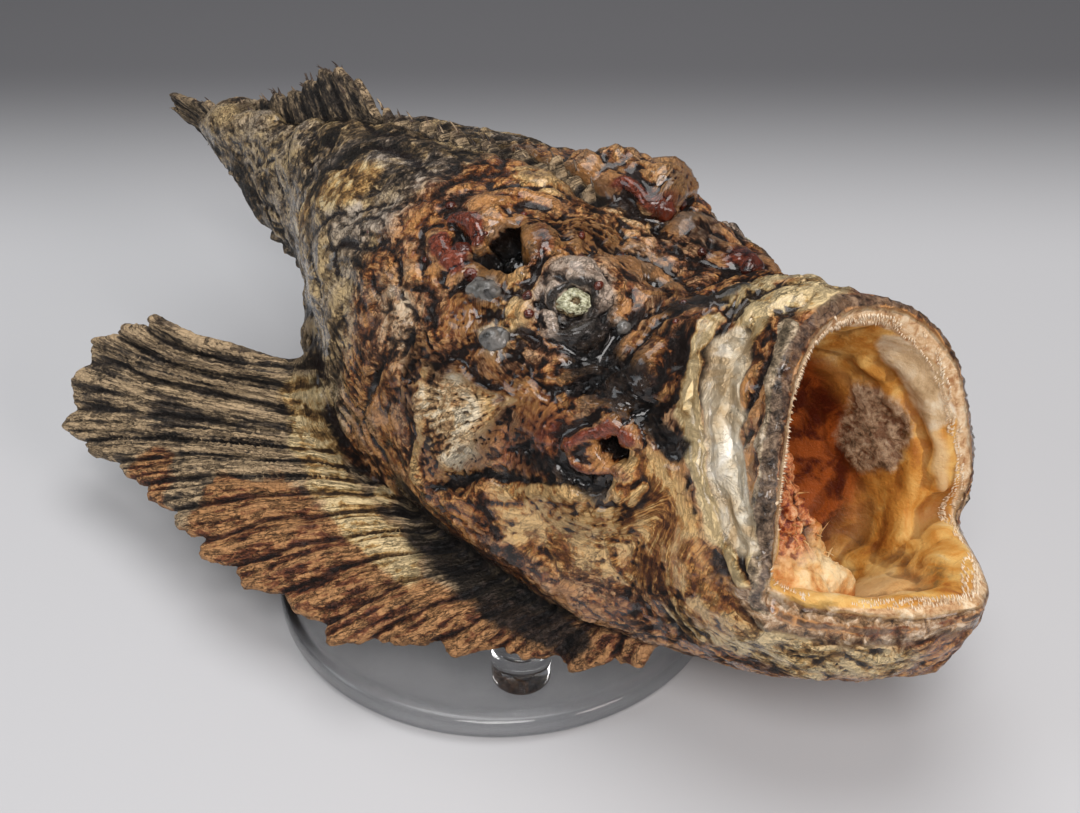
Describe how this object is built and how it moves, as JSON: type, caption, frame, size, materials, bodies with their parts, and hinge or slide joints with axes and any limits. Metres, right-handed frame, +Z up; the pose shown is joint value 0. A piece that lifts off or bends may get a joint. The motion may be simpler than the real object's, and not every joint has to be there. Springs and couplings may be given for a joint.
{
  "type": "dried stonefish on clear stand",
  "caption": "Dried stonefish with a wide gaping mouth and warty wrinkled skin, resting on a clear round display stand with short pegs.",
  "frame": {"origin": "centre of the disc's underside, on the surface the stand rests on", "axes": "+X the way the fish faces, +Y its left side, +Z up"},
  "size_m": [0.2813, 0.1515, 0.1],
  "materials": {
    "dried_skin": "dry, hard and deeply wrinkled, with glossy dark warts",
    "dried_jaw": "satin, translucent ochre skin over bone",
    "dried_fin": "dry, ribbed and wrinkled",
    "torn_tissue": "rough and torn, slightly glossy",
    "dried_eye": "dull gloss, pale ring with a dark centre",
    "clear_acrylic": "polished, with rounded edges"
  },
  "bodies": {
    "root": {"anal_fin": "dried_fin", "caudal_fin": "dried_fin", "dorsal_fin_soft": "dried_fin", "dorsal_fin_spines": "dried_fin", "eye_left": "dried_eye", "eye_right": "dried_eye", "gill_cover_left": "dried_skin", "gill_cover_right": "dried_skin", "gill_tissue": "torn_tissue", "head": "dried_skin", "lower_jaw": "dried_jaw", "maxilla_left": "dried_jaw", "maxilla_right": "dried_jaw", "pectoral_fin_left": "dried_fin", "pectoral_fin_right": "dried_fin", "pelvic_fin_left": "dried_fin", "pelvic_fin_right": "dried_fin", "stand_base": "clear_acrylic", "stand_peg_1": "clear_acrylic", "stand_peg_2": "clear_acrylic", "stand_peg_3": "clear_acrylic", "tail": "dried_skin", "trunk": "dried_skin", "upper_jaw": "dried_jaw"}
  },
  "joints": []
}
